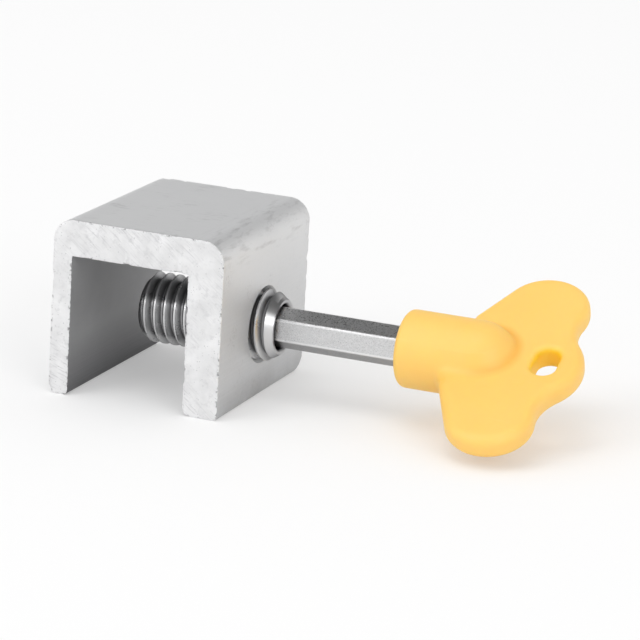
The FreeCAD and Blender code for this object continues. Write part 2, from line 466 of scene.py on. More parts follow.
def pits_group():
    """Scattered round pits, more of them and larger as Cover grows."""
    tree, given, made = new_group("small_pits", Scale=900.0, Cover=0.2)
    cells = put(tree, "ShaderNodeTexVoronoi", Vector=given["Vector"], Scale=given["Scale"])
    chance = put(tree, "ShaderNodeTexNoise", Vector=given["Vector"], Scale=given["Scale"], Detail=1.0)
    radius = ramp(tree, chance.outputs[0], *PIT_CHANCE, given["Cover"], 0.0)
    depth = times_plus(tree, cells.outputs["Distance"], -1.0, radius)
    tree.links.new(ramp(tree, depth, 0.0, PIT_SOFTNESS), made)
    return tree


def patches_group():
    """Slow, soft patches about the middle value of 0.5."""
    tree, given, made = new_group("soft_patches", Scale=150.0)
    cloud = put(tree, "ShaderNodeTexNoise", Vector=given["Vector"], Scale=given["Scale"],
                Detail=4.0, Roughness=0.55)
    tree.links.new(ramp(tree, cloud.outputs[0], *PATCH_RANGE), made)
    return tree


SCRATCHES = scratches_group()
PITS = pits_group()
PATCHES = patches_group()
print("shared effects:", SCRATCHES.name, PITS.name, PATCHES.name)

# %% [markdown]
# ## Helpers for a finish
# A finish is built in layers, like paint: a ground colour, then one shade after another through a mask of
# its own. Mixing layers in an image editor would tie them to one resolution; nodes on the object's own
# coordinates stay sharp at any distance and need no unwrapping.

# %% Start a finish and read places from it
def new_finish(name):
    """A material with a Principled shader, its tree, that shader, and the object's own coordinates."""
    material = bpy.data.materials.new(name)
    material.use_nodes = True
    tree = material.node_tree
    tree.nodes.clear()
    shader = put(tree, "ShaderNodeBsdfPrincipled")
    put(tree, "ShaderNodeOutputMaterial", Surface=shader.outputs["BSDF"])
    return material, tree, shader, put(tree, "ShaderNodeTexCoord").outputs["Object"]


def effect(tree, group, where, **sockets):
    """Places a shared effect in a material and returns its mask."""
    return put(tree, "ShaderNodeGroup", {"node_tree": group}, Vector=where, **sockets).outputs["Mask"]


def coordinate(tree, where, letter):
    """One of the three parts of a place."""
    return put(tree, "ShaderNodeSeparateXYZ", Vector=where).outputs[letter]


def turned_by(tree, where, *angles):
    """The coordinates turned about X, Y and Z, for marks that run at a slant."""
    return put(tree, "ShaderNodeMapping", Vector=where, Rotation=angles).outputs[0]


def noted(tree, name):
    """A number that the mesh carries on its points."""
    return put(tree, "ShaderNodeAttribute", {"attribute_name": name}).outputs["Fac"]


print("effects sit on the object's own coordinates")

# %% Lay shades and close a finish
def grey(value, blue=0.005):
    """The grey of a metal, a touch cool."""
    return value, value, value + blue


def blend_colours(tree, mask, low, high):
    """A colour that goes from low to high as the mask goes from 0 to 1."""
    mix = put(tree, "ShaderNodeMix", {"data_type": "RGBA"}, i0=mask)
    for place, colour in ((6, low), (7, high)):
        if isinstance(colour, bpy.types.NodeSocket):
            tree.links.new(colour, mix.inputs[place])
        else:
            mix.inputs[place].default_value = (*colour, 1)
    return mix.outputs[2]


def painted(tree, colour, shades, **masks):
    """Lays one named shade after another over a colour, each through its own mask."""
    for name, mask in masks.items():
        colour = blend_colours(tree, mask, colour, shades[name])
    return colour


def surface(tree, shader, colour, rough, relief, strength, depth, metallic=0.0):
    """Gives the shader its colour, its roughness and a bump of the given strength and depth."""
    bump = put(tree, "ShaderNodeBump", Strength=strength, Distance=depth, Height=relief).outputs[0]
    for slot, value in (("Base Color", colour), ("Roughness", rough), ("Normal", bump)):
        tree.links.new(value, shader.inputs[slot])
    shader.inputs["Metallic"].default_value = metallic


print("a grey of 0.5 is", grey(0.5))

# %% [markdown]
# ## Extruded aluminium
# The channel's long faces have the even grey satin of extrusion, with faint lines along the bar, a few
# pits, darker patches low down and a shoulder rubbed in use, and their colour is painted darker towards the
# feet as shade. One brushed texture all over would look too clean, so the painted shade and the dark
# patches are placed by height, and the wear by the distance from the shoulder.

# %% Extruded aluminium
SHOULDER_RADIUS = 3.0 * MM
SHOULDER_ZONE = 1.7 * SHOULDER_RADIUS
GRIME_SHARE = 1 / 6
EXTRUDED_SHADES = {
    # foot and top: the colour is painted darker towards the feet and lighter at the top, as shade
    "foot": (0.552, 0.562, 0.576),
    "top": (0.76, 0.764, 0.77),
    "line": grey(0.74),
    "smudge": grey(0.42),
    "pit": grey(0.54),
    # a darker grey laid in patches towards the bottom
    "grime": grey(0.40),
    "rub": grey(0.60),
}


def extruded_aluminium():
    material, tree, shader, where = new_finish("extruded_aluminium")
    shades = EXTRUDED_SHADES
    bar_ways = turned_by(tree, where, 0, 0, math.pi / 2)
    height = coordinate(tree, where, "Z")
    lines = effect(tree, SCRATCHES, bar_ways, Scale=9000.0, Stretch=0.006, Cover=0.24)
    scuffs = effect(tree, SCRATCHES, where, Scale=2600.0, Stretch=0.2, Cover=0.22)
    pits = effect(tree, PITS, where, Scale=700.0, Cover=0.10)
    patches = effect(tree, PATCHES, where, Scale=120.0)
    blotches = effect(tree, PATCHES, where, Scale=230.0)
    smudges = times(tree, ramp(tree, blotches, 0.62, 0.95, high=0.5), scuffs)
    # darker in patches towards the bottom
    grime = times(tree, ramp(tree, height, channel_high.z * GRIME_SHARE, 0.0), patches)
    over_top = ramp(tree, height, channel_high.z - SHOULDER_ZONE, channel_high.z - SHOULDER_RADIUS)
    to_side = ramp(tree, coordinate(tree, where, "X"), channel_high.x - SHOULDER_ZONE,
                   channel_high.x - SHOULDER_RADIUS)
    rubs = effect(tree, SCRATCHES, bar_ways, Scale=1100.0, Stretch=0.25, Cover=0.22)
    rubs = times(tree, rubs, times(tree, over_top, to_side))
    # painted shade: darker towards the feet, lighter at the top
    colour = blend_colours(tree, ramp(tree, height, 0.0, channel_high.z), shades["foot"], shades["top"])
    colour = painted(tree, colour, shades, line=times(tree, lines, 0.25), smudge=smudges, pit=pits,
                     grime=grime, rub=rubs)
    rough = times_plus(tree, scuffs, 0.12, ramp(tree, patches, 0.0, 1.0, 0.46, 0.54))
    relief = times_plus(tree, pits, -1.6, lines)
    surface(tree, shader, colour, rough, relief, strength=0.08, depth=0.008 * MM, metallic=0.65)
    return material


EXTRUDED = extruded_aluminium()
print("finish:", EXTRUDED.name)

# %% [markdown]
# ## The inside of the extrusion
# Inside the slot the metal is dull, and its colour is painted much darker as shade, darkest at the
# feet. It could share the outer finish and count on shadow alone, but the slot is open on three sides and
# well lit. A finish of its own, with painted shade, keeps the two apart.

# %% Dull inside of the extrusion, painted darker as shade
DARK_FOOT_SHARE = 1 / 3
# the slot's greys are painted much darker than the outside as shade, darkest at the feet
INSIDE_SHADES = {"dark": grey(0.35), "light": grey(0.39), "foot": grey(0.12), "line": grey(0.44)}


def inside_aluminium():
    material, tree, shader, where = new_finish("inside_aluminium")
    shades = INSIDE_SHADES
    bar_ways = turned_by(tree, where, 0, 0, math.pi / 2)
    lines = effect(tree, SCRATCHES, bar_ways, Scale=7000.0, Stretch=0.008, Cover=0.30)
    patches = effect(tree, PATCHES, where, Scale=200.0)
    # painted shade: darker towards the bottom of the slot
    rise = ramp(tree, coordinate(tree, where, "Z"), 0.0, channel_high.z * DARK_FOOT_SHARE)
    colour = blend_colours(tree, patches, shades["dark"], shades["light"])
    colour = blend_colours(tree, rise, shades["foot"], colour)
    colour = painted(tree, colour, shades, line=times(tree, lines, 0.1))
    rough = ramp(tree, patches, 0.0, 1.0, 0.55, 0.62)
    surface(tree, shader, colour, rough, lines, strength=0.06, depth=0.01 * MM, metallic=0.35)
    return material


# a dull finish with painted shade for the faces inside the slot
INSIDE = inside_aluminium()
print("finish:", INSIDE.name)

# %% [markdown]
# ## Sawn aluminium
# The two ends were sawn and left: they are bright, with short slanting saw marks in places, specks and
# pits, a few long gouges at the foot of the thin leg, and small nicks along the torn rim, whose shade is
# painted in a dark grey. The rim is known only to the mesh, so its points carry a number, which this
# finish reads.

# %% Sawn aluminium
MARK_SLANT = math.radians(-38)
GOUGE_SLANT = math.radians(-18)
GOUGED_LEG = (6 * MM, 3 * MM)
GOUGED_FOOT = (9 * MM, 5 * MM)
SAWN_SHADES = {
    "dark": grey(0.75),
    "light": grey(0.87),
    "mark": grey(0.60, 0.01),
    "gouge": grey(0.52, 0.01),
    "speck": grey(0.62, 0.01),
    "pit": grey(0.58, 0.01),
    # the darkest grey is painted shade in small nicks along the torn rim
    "chip": grey(0.30),
}


def sawn_aluminium():
    material, tree, shader, where = new_finish("sawn_aluminium")
    shades = SAWN_SHADES
    slanted = turned_by(tree, where, 0, MARK_SLANT, 0)
    marks = effect(tree, SCRATCHES, slanted, Scale=6500.0, Stretch=0.07, Cover=0.22)
    fine = effect(tree, SCRATCHES, slanted, Scale=15000.0, Stretch=0.04, Cover=0.30)
    places = ramp(tree, effect(tree, PATCHES, where, Scale=170.0), 0.35, 0.85)
    pits = effect(tree, PITS, where, Scale=2300.0, Cover=0.24)
    specks = ramp(tree, effect(tree, PATCHES, where, Scale=1300.0), 0.66, 1.0, high=0.45)
    # spots of painted shade for small nicks, laid only on the torn rim
    chips = ramp(tree, effect(tree, PATCHES, where, Scale=1900.0), 0.64, 0.92)
    level = turned_by(tree, where, 0, GOUGE_SLANT, 0)
    gouges = effect(tree, SCRATCHES, level, Scale=4200.0, Stretch=0.09, Cover=0.18)
    thin_leg = ramp(tree, coordinate(tree, where, "X"), *(channel_low.x + reach for reach in GOUGED_LEG))
    foot = ramp(tree, coordinate(tree, where, "Z"), *GOUGED_FOOT)
    gouges = times(tree, gouges, times(tree, thin_leg, foot))
    ground = effect(tree, PATCHES, where, Scale=420.0)
    colour = blend_colours(tree, ground, shades["dark"], shades["light"])
    colour = painted(tree, colour, shades, mark=times(tree, marks, places), gouge=gouges, speck=specks,
                     pit=pits, chip=times(tree, chips, noted(tree, "rim_wear")))
    relief = times_plus(tree, pits, -1.5, times_plus(tree, marks, -1.2, fine))
    rough = ramp(tree, marks, 0.0, 1.0, 0.56, 0.44)
    surface(tree, shader, colour, rough, relief, strength=0.20, depth=0.010 * MM, metallic=0.7)
    return material


SAWN = sawn_aluminium()
print("finish:", SAWN.name)

# %% [markdown]
# ## The channel
# The section is a U of eight corners. A solid block with a slot cut out by a Boolean would also do, but
# drawing the section and extruding it is how the bar is made, and it keeps long clean faces. A vertex
# bevel rounds the shoulders and the feet, and the rims at the two ends get a fine broken edge.

# %% Section and length
THIN_WALL = 2.8 * MM
TAPPED_WALL = 5.1 * MM
WEB = 5.0 * MM
FOOT_RADIUS = 1.2 * MM
KEEN_FOOT_RADIUS = 0.6 * MM
RIM_STEP = 0.3 * MM
RIM_INSET = 0.35 * MM
RIM_LOOPS = (0.6 * MM, 1.2 * MM)
RIM_BREAK = 0.10 * MM
FILED_RADIUS = 2.4 * MM
FILED_LOOPS = (0.6 * MM, 0.85 * MM, 1.2 * MM, 1.6 * MM, 2.0 * MM, 2.4 * MM)
END_FACING, SIDE_FACING = 0.9, 0.5
slot_left = channel_low.x + THIN_WALL
slot_right = channel_high.x - TAPPED_WALL


def ease(bm, parts, offset, segments, affect):
    """Rounds edges, or the corners of an outline, by a bevel."""
    bmesh.ops.bevel(bm, geom=parts, offset=offset, segments=segments, profile=0.5, affect=affect, material=-1)


def channel_bar():
    """The plain sawn bar with finely divided ends."""
    top = channel_high.z
    corners = [
        (channel_low.x, 0, FOOT_RADIUS),
        (channel_low.x, top, SHOULDER_RADIUS),
        (channel_high.x, top, SHOULDER_RADIUS),
        (channel_high.x, 0, KEEN_FOOT_RADIUS),
        (slot_right, 0, FOOT_RADIUS),
        (slot_right, top - WEB, 0),
        (slot_left, top - WEB, 0),
        (slot_left, 0, KEEN_FOOT_RADIUS),
    ]
    bm = bmesh.new()
    verts = [bm.verts.new((x, channel_low.y, z)) for x, z, _ in corners]
    bm.faces.new(verts)
    for radius in (SHOULDER_RADIUS, FOOT_RADIUS, KEEN_FOOT_RADIUS):
        rounded = [vert for vert, corner in zip(verts, corners) if corner[2] == radius]
        ease(bm, rounded, radius, 10, "VERTICES")
    for edge in bm.edges[:]:
        pieces = math.ceil(edge.calc_length() / RIM_STEP)
        if pieces > 1:
            bmesh.ops.subdivide_edges(bm, edges=[edge], cuts=pieces - 1)
    draw_out(bm, (0, channel_high.y - channel_low.y, 0))
    ends = [face for face in bm.faces if abs(face.normal.y) > END_FACING]
    bmesh.ops.inset_region(bm, faces=ends, thickness=RIM_INSET, use_even_offset=True)
    half = channel_high.y - WELD
    rims = [edge for edge in bm.edges if all(abs(v.co.y) > half for v in edge.verts)
            and any(abs(face.normal.y) < SIDE_FACING for face in edge.link_faces)]
    ease(bm, rims, RIM_BREAK, 2, "EDGES")
    loops = [channel_low.y + inset for inset in RIM_LOOPS] + [channel_high.y - inset for inset in FILED_LOOPS]
    for loop_y in loops:
        everything = bm.verts[:] + bm.edges[:] + bm.faces[:]
        bmesh.ops.bisect_plane(bm, geom=everything, plane_co=(0, loop_y, 0), plane_no=(0, 1, 0))
    return bm


bar = channel_bar()
print("plain bar:", len(bar.faces), "faces")

# %% [markdown]
# ## Torn edges
# A saw tears the rim of soft metal and leaves nicks. A Displace modifier could push the whole face about,
# but only the rim is torn, so its points alone are moved inwards by noise, which is the same on every run.
# They are marked on the way, for the painted shade of small nicks in the finish.

# %% Tear the sawn edges a little
TEAR_GRAIN = 1.1 * MM
TEAR_DEPTH = 0.32 * MM
TEAR_LEVEL = 0.12
FINE_GRAIN = 0.35 * MM
FINE_DEPTH = 0.07 * MM
FINE_LEVEL = 0.3
FLAT_FACING = 0.95


def torn(bm):
    """Pushes the points of both rims inwards by noise, deeper where the saw has torn the edge."""
    middle = (channel_low + channel_high) / 2
    wear = bm.verts.layers.float.new("rim_wear")
    rim = []
    for vert in bm.verts:
        past_face = abs(vert.co.y) - (channel_high.y - 3 * RIM_BREAK)
        on_side = any(abs(face.normal.y) < FLAT_FACING for face in vert.link_faces)
        if past_face > 0 and on_side:
            rim.append(vert)
    for vert in rim:
        # these rim points get the painted shade of nicks in the finish
        vert[wear] = 1.0
        tear = max(0.0, noise.noise(vert.co / TEAR_GRAIN) - TEAR_LEVEL) * TEAR_DEPTH
        fray = (noise.noise(vert.co / FINE_GRAIN) - FINE_LEVEL) * FINE_DEPTH
        side_way = vert.normal.copy()
        side_way.y = 0
        vert.co -= side_way * max(0.0, tear + fray)
        vert.co.y -= math.copysign(max(0.0, tear - fray), vert.co.y - middle.y)
    return len(rim)


print("rim points roughened:", torn(bar))

# %% [markdown]
# ## A filed corner
# The far lower corner of the thick wall is filed round. A bevel would fail on the torn edge, and a Boolean
# with a block would meet the same ragged points. The bar has extra loops there, so its points are lifted
# onto an arc, and the lift fades out further up the wall.

# %% File one corner round
def filed(bm):
    """Lifts the points of the tapped wall's far lower corner onto an arc."""
    moved = 0
    for vert in bm.verts:
        past = min(vert.co.y - channel_high.y + FILED_RADIUS, FILED_RADIUS)
        if past > 0 and vert.co.x > slot_right - 2 * WELD and vert.co.z < 2 * FILED_RADIUS:
            lift = FILED_RADIUS - math.sqrt(FILED_RADIUS ** 2 - past ** 2)
            vert.co.z += lift * (1 - vert.co.z / (2 * FILED_RADIUS))
            moved += 1
    return moved


print("corner points filed:", filed(bar))

# %% [markdown]
# ## The tapped hole
# The thick wall is drilled, tapped and countersunk on both sides. A plain hole would do behind the screw,
# but its thread shows when the screw is wound in or out, so the tap is the screw's own rod with a little
# clearance. The faces then get their finish: sawn on the ends and the filed corner, dull and painted
# darker as shade in the slot.

# %% Drill, tap and countersink the hole
TAP_CLEARANCE = 0.05 * MM
COUNTERSINK = 0.45 * MM
TURN_STEPS = 96
SAWN_FACING = 0.35


def spun(bm, centre, axis, steps):
    """Spins all that is in a bmesh a full turn and closes it."""
    bmesh.ops.spin(bm, geom=bm.verts[:] + bm.edges[:], cent=centre, axis=axis, angle=math.tau, steps=steps,
                   use_merge=True)
    bmesh.ops.remove_doubles(bm, verts=bm.verts, dist=WELD)
    bmesh.ops.recalc_face_normals(bm, faces=bm.faces)


def turned(profile):
    """A closed turned shape about the screw's axis from (x, radius) points that start and end on the axis."""
    bm = bmesh.new()
    chain(bm, [AXIS + Vector((x, 0, radius)) for x, radius in profile])
    spun(bm, AXIS, ALONG, TURN_STEPS)
    return bm


def tapped(bm):
    """Cuts the threaded hole and its two countersinks."""
    outer, inner = channel_high.x, slot_right
    reach = SCREW_RADIUS + TAP_CLEARANCE
    mouth = reach + COUNTERSINK
    tap = threaded_rod(inner - MM, outer + MM, reach, THREAD_DEPTH)
    outside = turned([(outer - mouth, 0), (outer + MM, mouth + MM), (outer + MM, 0)])
    inside = turned([(inner - MM, 0), (inner - MM, mouth + MM), (inner + mouth, 0)])
    return cut(bm, [("DIFFERENCE", tap), ("DIFFERENCE", outside), ("DIFFERENCE", inside)])


def finish_of(face):
    """0, 1 or 2 for an extruded, a sawn or an inside face."""
    middle = face.calc_center_median()
    at_end = abs(middle.y) > channel_high.y - RIM_INSET
    near_end = middle.y > channel_high.y - FILED_RADIUS
    at_file = near_end and middle.x > slot_right and middle.z < FILED_RADIUS
    if (at_end or at_file) and abs(face.normal.y) > SAWN_FACING:
        return 1
    at_slot = slot_left - KEEN_FOOT_RADIUS < middle.x < slot_right + FOOT_RADIUS
    return 2 if at_slot and middle.z < channel_high.z - WEB + WELD else 0


channel = tapped(bar)
for face in channel.faces:
    face.material_index = finish_of(face)
set_piece("channel", channel, [EXTRUDED, SAWN, INSIDE], "channel", "channel_body")

# %% [markdown]
# ## Steel for the screw
# The screw is bright plated steel. Its colour is painted darker in the thread's roots and lighter on the
# crests, as shade, and a near-black ring of painted shade sits in the mouth of the socket round the blade.
# That can't be painted by hand on a helix, but the distance from the axis tells root from crest at every
# point, so the finish reads it from the object's own coordinates.

# %% Screw steel
END_TAPER = 1.6 * MM
MOUTH_GRIME = 0.5 * MM
DIM_EDGE = (0.3, 0.3, 0.3, 1)
SCREW_SHADES = {
    # root: painted shade in the thread's roots
    "root": grey(0.27),
    "crest": grey(0.72),
    "pit": grey(0.22),
    "end": grey(0.62),
    # mouth: painted shade, near black, in the socket's mouth round the blade
    "mouth": grey(0.05, 0.002),
}


def off_axis(tree, where):
    """How far a point lies from the screw's axis."""
    centred = put(tree, "ShaderNodeMapping", Vector=where, Location=-AXIS).outputs[0]
    across = put(tree, "ShaderNodeVectorMath", {"operation": "MULTIPLY"}, i0=centred, i1=(0, 1, 1)).outputs[0]
    return put(tree, "ShaderNodeVectorMath", {"operation": "LENGTH"}, i0=across).outputs["Value"]


def screw_steel():
    material, tree, shader, where = new_finish("screw_steel")
    shades = SCREW_SHADES
    radius = off_axis(tree, where)
    height = ramp(tree, radius, SCREW_RADIUS - THREAD_DEPTH, SCREW_RADIUS)
    end = ramp(tree, coordinate(tree, where, "X"), screw_high.x - END_TAPER, screw_high.x - END_TAPER / 2)
    blade_corner = HEX_FLATS / math.sqrt(3)
    # painted shade: a near-black ring in the socket's mouth round the blade
    mouth = ramp(tree, radius, blade_corner + MOUTH_GRIME, blade_corner + MOUTH_GRIME / 2)
    patches = effect(tree, PATCHES, where, Scale=420.0)
    pits = effect(tree, PITS, where, Scale=1500.0, Cover=0.22)
    # painted shade: darker in the thread's roots, lighter on the crests
    colour = blend_colours(tree, height, shades["root"], shades["crest"])
    colour = painted(tree, colour, shades, pit=pits, end=end, mouth=times(tree, mouth, end))
    rough = times_plus(tree, end, 0.06, ramp(tree, patches, 0.0, 1.0, 0.24, 0.36))
    surface(tree, shader, colour, rough, patches, strength=0.2, depth=0.01 * MM, metallic=1.0)
    shader.inputs["Specular Tint"].default_value = DIM_EDGE
    return material


STEEL = screw_steel()
print("finish:", STEEL.name)

# %% [markdown]
# ## The set screw
# A real set screw is a threaded rod cut to length, with both ends chamfered in a lathe and a hexagon pushed
# into one of them. The mesh is made in the same order: the rod is intersected with a chamfered blank, and
# the socket, with its drilled floor and eased mouth, is taken out.

# %% Cut the rod to a screw
TIP_CHAMFER = 1.0 * MM
END_CHAMFER = 1.1 * MM
SOCKET_DEPTH = 8.0 * MM
SOCKET_ROOM = 0.25 * MM
SOCKET_LEAD = 0.25 * MM
DRILL_POINT = 1.4 * MM


def set_screw(rod_mesh):
    """The finished screw, cut from a longer rod."""
    tip, end = screw_low.x, screw_high.x
    blank = turned([
        (tip, 0),
        (tip, SCREW_RADIUS - TIP_CHAMFER),
        (tip + 1.5 * TIP_CHAMFER, SCREW_RADIUS + 0.5 * TIP_CHAMFER),
        (end - 1.5 * END_TAPER, SCREW_RADIUS + 0.5 * END_CHAMFER),
        (end, SCREW_RADIUS - END_CHAMFER),
        (end, 0),
    ])
    flats = HEX_FLATS + 2 * SOCKET_ROOM
    floor_x = end - SOCKET_DEPTH
    socket = hex_bar(flats, floor_x, end + MM)
    drill = turned([
        (floor_x - DRILL_POINT, 0),
        (floor_x, flats / 2),
        (floor_x + MM, flats / 2),
        (floor_x + MM, 0),
    ])
    mouth = flats / math.sqrt(3) + SOCKET_LEAD
    lead = turned([(end - mouth, 0), (end + MM, mouth + MM), (end + MM, 0)])
    cuts = [("DIFFERENCE", tool) for tool in (socket, drill, lead)]
    return cut(rod_mesh, [("INTERSECT", blank)] + cuts)


set_piece("screw", set_screw(rod), [STEEL], "screw", "set_screw")

# %% [markdown]
# ## Steel for the blade
# The blade is drawn bar with a finely grained plating. A highlight is painted along its ridges and shade on
# its underside. Noise that lies square to a flat facet shows one slice of itself, which can look like a blot,
# so the grain is read from coordinates turned askew. The painted ridge highlights are found by their
# distance from the axis.

# %% Blade steel
GRAIN_TURN = (0.4, 0.7, 0.2)
RIDGE_SHARES = (0.552, 0.560)
UNDER_SHARES = (0.24, 0.30)
BLADE_SHADES = {
    "dark": grey(0.50),
    "light": grey(0.56),
    "grain": grey(0.76),
    # a painted highlight along the ridges
    "ridge": grey(0.92),
    # painted shade on the underside
    "under": grey(0.24),
}


def blade_steel():
    material, tree, shader, where = new_finish("blade_steel")
    shades = BLADE_SHADES
    askew = turned_by(tree, where, *GRAIN_TURN)
    grain = effect(tree, PATCHES, askew, Scale=5500.0)
    patches = effect(tree, PATCHES, askew, Scale=300.0)
    # painted highlight along the hexagon's ridges
    ridges = ramp(tree, off_axis(tree, where), *(HEX_FLATS * share for share in RIDGE_SHARES), high=0.8)
    height = coordinate(tree, where, "Z")
    # painted shade on the lower facets of the blade
    under = ramp(tree, height, *(AXIS.z - HEX_FLATS * share for share in UNDER_SHARES), high=0.85)
    colour = blend_colours(tree, patches, shades["dark"], shades["light"])
    colour = painted(tree, colour, shades, grain=grain, ridge=ridges, under=under)
    rough = ramp(tree, grain, 0.0, 1.0, 0.22, 0.46)
    surface(tree, shader, colour, rough, grain, strength=0.5, depth=0.02 * MM, metallic=1.0)
    return material


BLADE_FINISH = blade_steel()
print("finish:", BLADE_FINISH.name)

# %% [markdown]
# ## The blade
# The key's blade is a length of hex bar. A plain prism would have razor edges, which no real bar has. An
# edge bevel eases all of them, so that each ridge catches a line of light.

# %% Draw the blade
BLADE_EASE = 0.2 * MM
BLADE_CREASE = math.radians(5)
blade = hex_bar(HEX_FLATS, blade_low.x, blade_high.x)
ease(blade, blade.edges[:], BLADE_EASE, 3, "EDGES")
set_piece("blade", blade, [BLADE_FINISH], "key", "key_blade", crease=BLADE_CREASE)

# %% [markdown]
# ## Plastic
# The handle is a warm yellow plastic that lets light in a little way. Without subsurface scattering it
# would look like painted metal. Its colour is painted deeper in the crease round the barrel, as shade, and
# inside the eye, as a glow of light that has passed through the plastic, so the mesh carries two numbers
# for these places, and the finish reads them.

# %% Plastic
PLASTIC_SHADES = {
    "deep": (0.955, 0.58, 0.122),
    "pale": (0.97, 0.605, 0.138),
    "scuff": (1.0, 0.64, 0.18),
    # painted shade in the crease round the barrel's foot
    "fold": (0.945, 0.485, 0.07),
    # a painted glow of light that has passed through the plastic, on the eye's wall
    "hollow": (0.98, 0.63, 0.03),
}
PLASTIC_SETTINGS = {
    "Specular IOR Level": 0.8,
    "Subsurface Weight": 0.3,
    "Subsurface Radius": (1.0, 0.5, 0.12),
    "Subsurface Scale": 2.0 * MM,
}


def handle_plastic():
    material, tree, shader, where = new_finish("yellow_plastic")
    shades = PLASTIC_SHADES
    patches = effect(tree, PATCHES, where, Scale=90.0)
    grain = effect(tree, PATCHES, where, Scale=2200.0)
    scuffs = effect(tree, SCRATCHES, where, Scale=700.0, Stretch=0.12, Cover=0.06)
    colour = blend_colours(tree, patches, shades["deep"], shades["pale"])
    # painted shade in the crease and a painted glow on the eye's wall, from numbers on the mesh
    colour = painted(tree, colour, shades, scuff=scuffs, fold=noted(tree, "fold"), hollow=noted(tree, "hollow"))
    rough = ramp(tree, patches, 0.0, 1.0, 0.46, 0.54)
    surface(tree, shader, colour, rough, grain, strength=0.12, depth=0.01 * MM)
    for slot, value in PLASTIC_SETTINGS.items():
        shader.inputs[slot].default_value = value
    return material


PLASTIC = handle_plastic()
print("finish:", PLASTIC.name)

# %% [markdown]
# ## The handle's plate
# The handle is one moulding: a round barrel over the blade, two wings and a tail with an eye for a key
# ring. The plate's outline could be traced with a Bezier curve, but its real edge is a chain of arcs that
# touch one another. Each is drawn by spinning a point about one centre after another. Half of the
# outline is made and mirrored, then filled, drawn out and rounded at the rim.

# %% Wing plate from touching arcs
WING_TILT = math.radians(24)
PLATE = 3.5 * MM
PLATE_ROUND = 1.3 * MM
ROOT_REACH = 12.0 * MM
ROOT_RADIUS = 7.25 * MM
LOBE_REACH = 16.1 * MM
LOBE_OFFSET = 11.8 * MM
LOBE_RADIUS = 5.95 * MM
TAIL_REACH = 17.3 * MM
TAIL_RADIUS = 7.65 * MM
NOTCH_RADIUS = 7.0 * MM
ARC_STEP = math.radians(4)


def sweep(bm, vert, centre, angle):
    """Spins a point about a centre into a chain of edges and returns the chain's last point."""
    steps = max(2, math.ceil(abs(angle) / ARC_STEP))
    swept = bmesh.ops.spin(bm, geom=[vert], cent=centre, axis=(0, 0, 1), angle=angle, steps=steps)
    return swept["geom_last"][0]


def heading(start, end):
    """The angle of the way from one point to another."""
    return math.atan2(end.y - start.y, end.x - start.x)


def toward_angle(angle):
    """A step of length 1 at an angle."""
    return Vector((math.cos(angle), math.sin(angle), 0))


def wing_plate():
    """The flat of the handle, level on the X axis, with a rounded rim."""
    root = ALONG * (handle_low.x + ROOT_REACH)
    lobe = Vector((handle_low.x + LOBE_REACH, LOBE_OFFSET, 0))
    tail = ALONG * (handle_low.x + TAIL_REACH)
    span = (lobe - tail).length
    to_tail, to_lobe = TAIL_RADIUS + NOTCH_RADIUS, LOBE_RADIUS + NOTCH_RADIUS
    corner = math.acos((to_tail ** 2 + span ** 2 - to_lobe ** 2) / (2 * to_tail * span))
    tail_turn = heading(tail, lobe) - corner
    notch = tail + toward_angle(tail_turn) * to_tail
    lean = math.asin((ROOT_RADIUS - LOBE_RADIUS) / (lobe - root).length)
    front = heading(root, lobe) + math.pi / 2 - lean

    bm = bmesh.new()
    point = bm.verts.new(tail + ALONG * TAIL_RADIUS)
    point = sweep(bm, point, tail, tail_turn)
    to_lobe_turn = heading(notch, lobe)
    point = sweep(bm, point, notch, -((tail_turn + math.pi - to_lobe_turn) % math.tau))
    point = sweep(bm, point, lobe, (front - to_lobe_turn - math.pi) % math.tau)
    foot = bm.verts.new(root + toward_angle(front) * ROOT_RADIUS)
    bm.edges.new((point, foot))
    sweep(bm, foot, root, math.pi - front)
    bmesh.ops.mirror(bm, geom=bm.verts[:] + bm.edges[:], axis="Y", merge_dist=WELD)
    bmesh.ops.remove_doubles(bm, verts=bm.verts, dist=WELD)
    bmesh.ops.contextual_create(bm, geom=bm.edges[:])
    draw_out(bm, (0, 0, PLATE))
    bmesh.ops.translate(bm, verts=bm.verts, vec=(0, 0, -PLATE / 2))
    rims = [edge for edge in bm.edges if len({round(v.co.z / MM, 3) for v in edge.verts}) == 1]
    ease(bm, rims, PLATE_ROUND, 8, "EDGES")
    return bm


plate = wing_plate()
describe("plate:", plate)

# %% [markdown]
# ## The handle's barrel
# The grip is a round bar with a domed nose. A cylinder and a ball could be joined, but they would meet in a
# seam. One profile, with its front edge rounded by a vertex bevel and its nose swept as a quarter circle,
# is spun into the whole shape.

# %% Barrel with a domed nose
BARREL_RADIUS = 5.35 * MM
BARREL_LENGTH = 10.6 * MM
BARREL_ROUND = 0.9 * MM
DOME_STEPS = 16


def handle_barrel():
    """The round grip, lying on the X axis."""
    bm = bmesh.new()
    front, dome = handle_low.x, handle_low.x + BARREL_LENGTH
    _, rim, _ = chain(bm, [(front, 0, 0), (front, 0, BARREL_RADIUS), (dome, 0, BARREL_RADIUS)])
    ease(bm, [rim], BARREL_ROUND, 6, "VERTICES")
    last = max(bm.verts, key=lambda vert: vert.co.x)
    bmesh.ops.spin(bm, geom=[last], cent=(dome, 0, 0), axis=(0, 1, 0), angle=math.pi / 2, steps=DOME_STEPS)
    spun(bm, (0, 0, 0), ALONG, TURN_STEPS)
    return bm


barrel = handle_barrel()
describe("barrel:", barrel)

# %% [markdown]
# ## The eye
# A key ring goes through an oval eye with rounded rims. Cutting first and bevelling the rim afterwards is
# fragile on a dense mesh. So the cutter itself is flared where it leaves the plate, and the hole comes out
# with its rims already round. It is spun as a post and then stretched into an oval.

